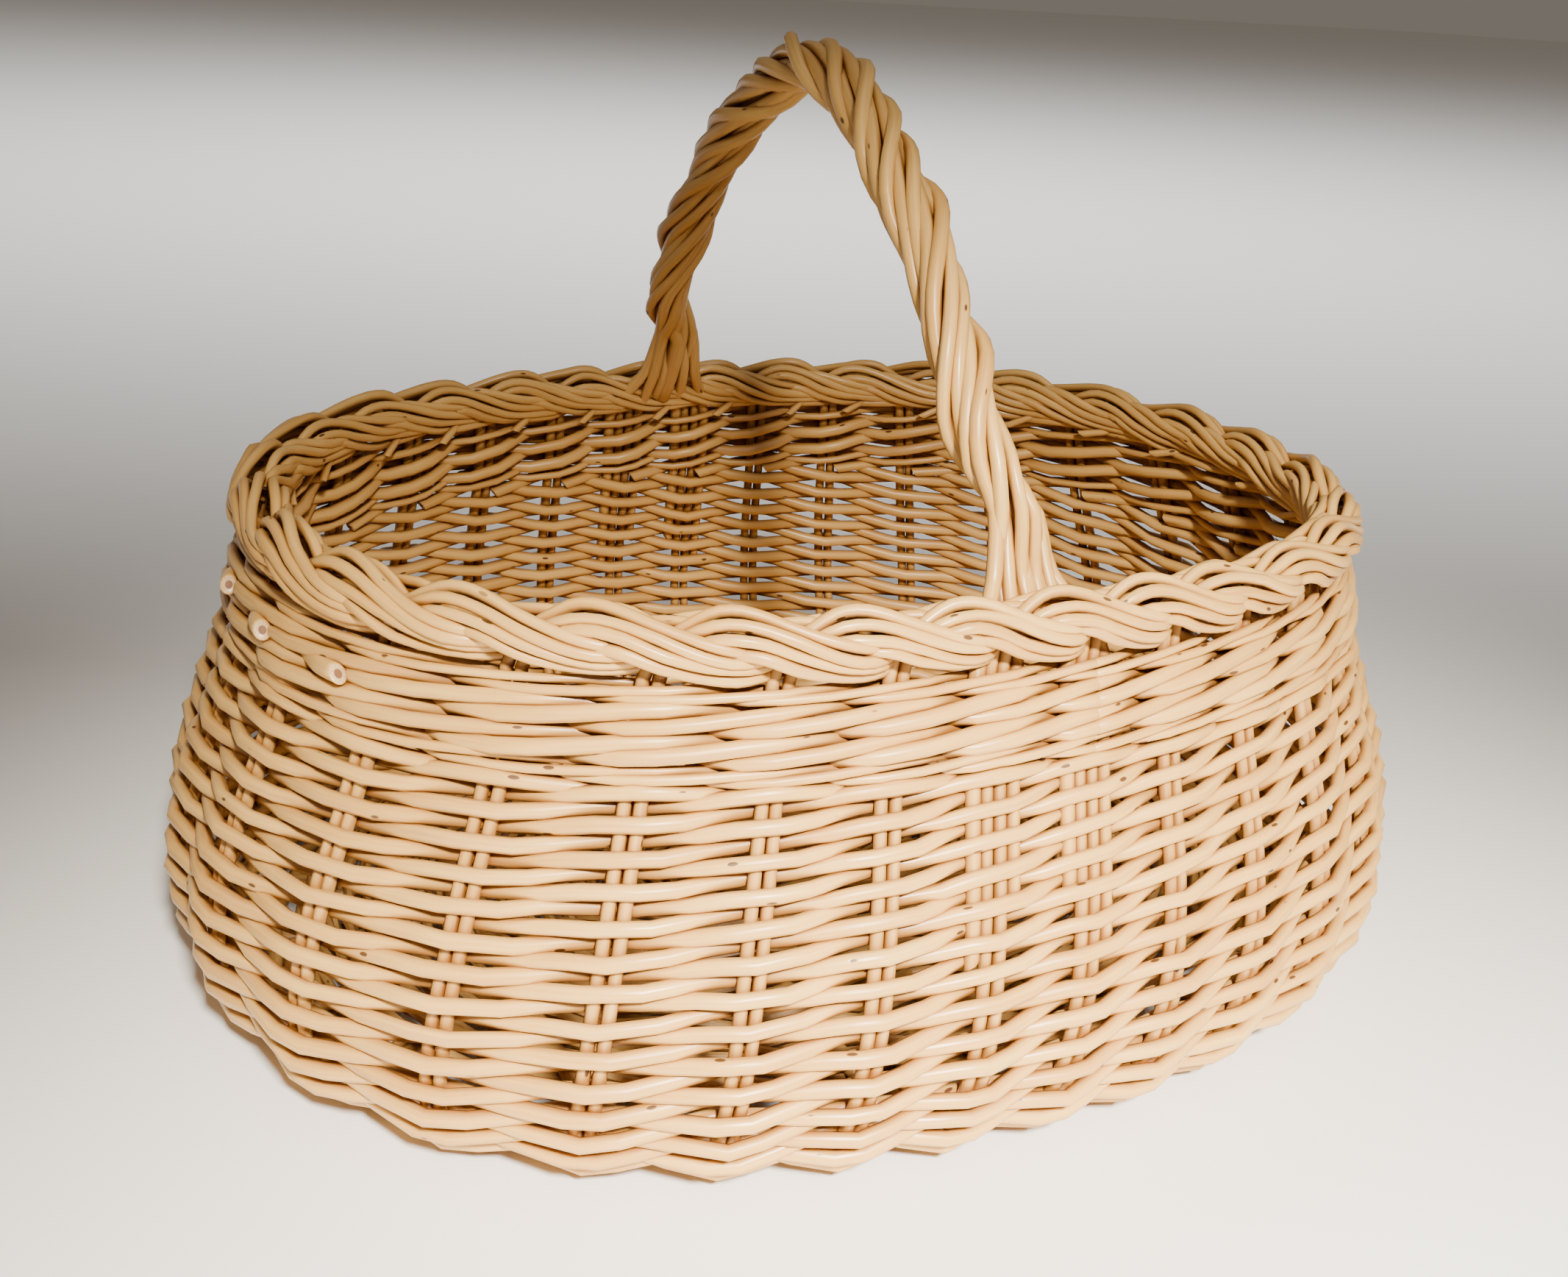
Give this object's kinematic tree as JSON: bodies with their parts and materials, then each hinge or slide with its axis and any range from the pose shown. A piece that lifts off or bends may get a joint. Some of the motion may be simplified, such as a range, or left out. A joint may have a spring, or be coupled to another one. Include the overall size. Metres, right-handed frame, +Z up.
{
  "type": "oval foraging basket",
  "caption": "Oval woven willow basket with a low belly, a thick rolled rim and a tall rope-twisted bow handle across its short side.",
  "frame": {"origin": "on the ground under the middle of the basket", "axes": "+X along the length of the oval, +Y across it in the plane of the handle, +Z up"},
  "size_m": [0.4798, 0.3982, 0.3338],
  "materials": {
    "stake_willow": "peeled willow, satin",
    "weave_willow": "peeled willow, satin",
    "wale_willow": "peeled willow, satin",
    "base_willow": "peeled willow, satin",
    "stick_willow": "peeled willow, satin",
    "border_willow": "peeled willow, soft gloss",
    "handle_willow": "peeled willow, soft gloss"
  },
  "bodies": {
    "root": {"stake_pair_01": "stake_willow", "stake_pair_02": "stake_willow", "stake_pair_03": "stake_willow", "stake_pair_04": "stake_willow", "stake_pair_05": "stake_willow", "stake_pair_06": "stake_willow", "stake_pair_07": "stake_willow", "stake_pair_08": "stake_willow", "stake_pair_09": "stake_willow", "stake_pair_10": "stake_willow", "stake_pair_11": "stake_willow", "stake_pair_12": "stake_willow", "stake_pair_13": "stake_willow", "stake_pair_14": "stake_willow", "stake_pair_15": "stake_willow", "stake_pair_16": "stake_willow", "stake_pair_17": "stake_willow", "stake_pair_18": "stake_willow", "stake_pair_19": "stake_willow", "stake_pair_20": "stake_willow", "stake_pair_21": "stake_willow", "stake_pair_22": "stake_willow", "stake_pair_23": "stake_willow", "stake_pair_24": "stake_willow", "stake_pair_25": "stake_willow", "stake_pair_26": "stake_willow", "stake_pair_27": "stake_willow", "stake_pair_28": "stake_willow", "stake_pair_29": "stake_willow", "stake_pair_30": "stake_willow", "side_weave_lower": "weave_willow", "side_weave_middle": "weave_willow", "side_weave_upper": "weave_willow", "lower_thin_wale": "wale_willow", "lower_thick_wale": "wale_willow", "upper_thick_wale": "wale_willow", "upper_thin_wale": "wale_willow", "foot_wale": "wale_willow", "base_weave": "base_willow", "base_cross_stick_1": "stick_willow", "base_cross_stick_2": "stick_willow", "base_cross_stick_3": "stick_willow", "base_cross_stick_4": "stick_willow", "base_cross_stick_5": "stick_willow", "base_cross_stick_6": "stick_willow", "base_cross_stick_7": "stick_willow", "base_long_stick_1": "stick_willow", "base_long_stick_2": "stick_willow", "base_long_stick_3": "stick_willow", "rolled_border": "border_willow", "handle_core": "handle_willow", "handle_strand_1": "handle_willow", "handle_strand_2": "handle_willow", "handle_strand_3": "handle_willow", "handle_strand_4": "handle_willow"}
  },
  "joints": []
}
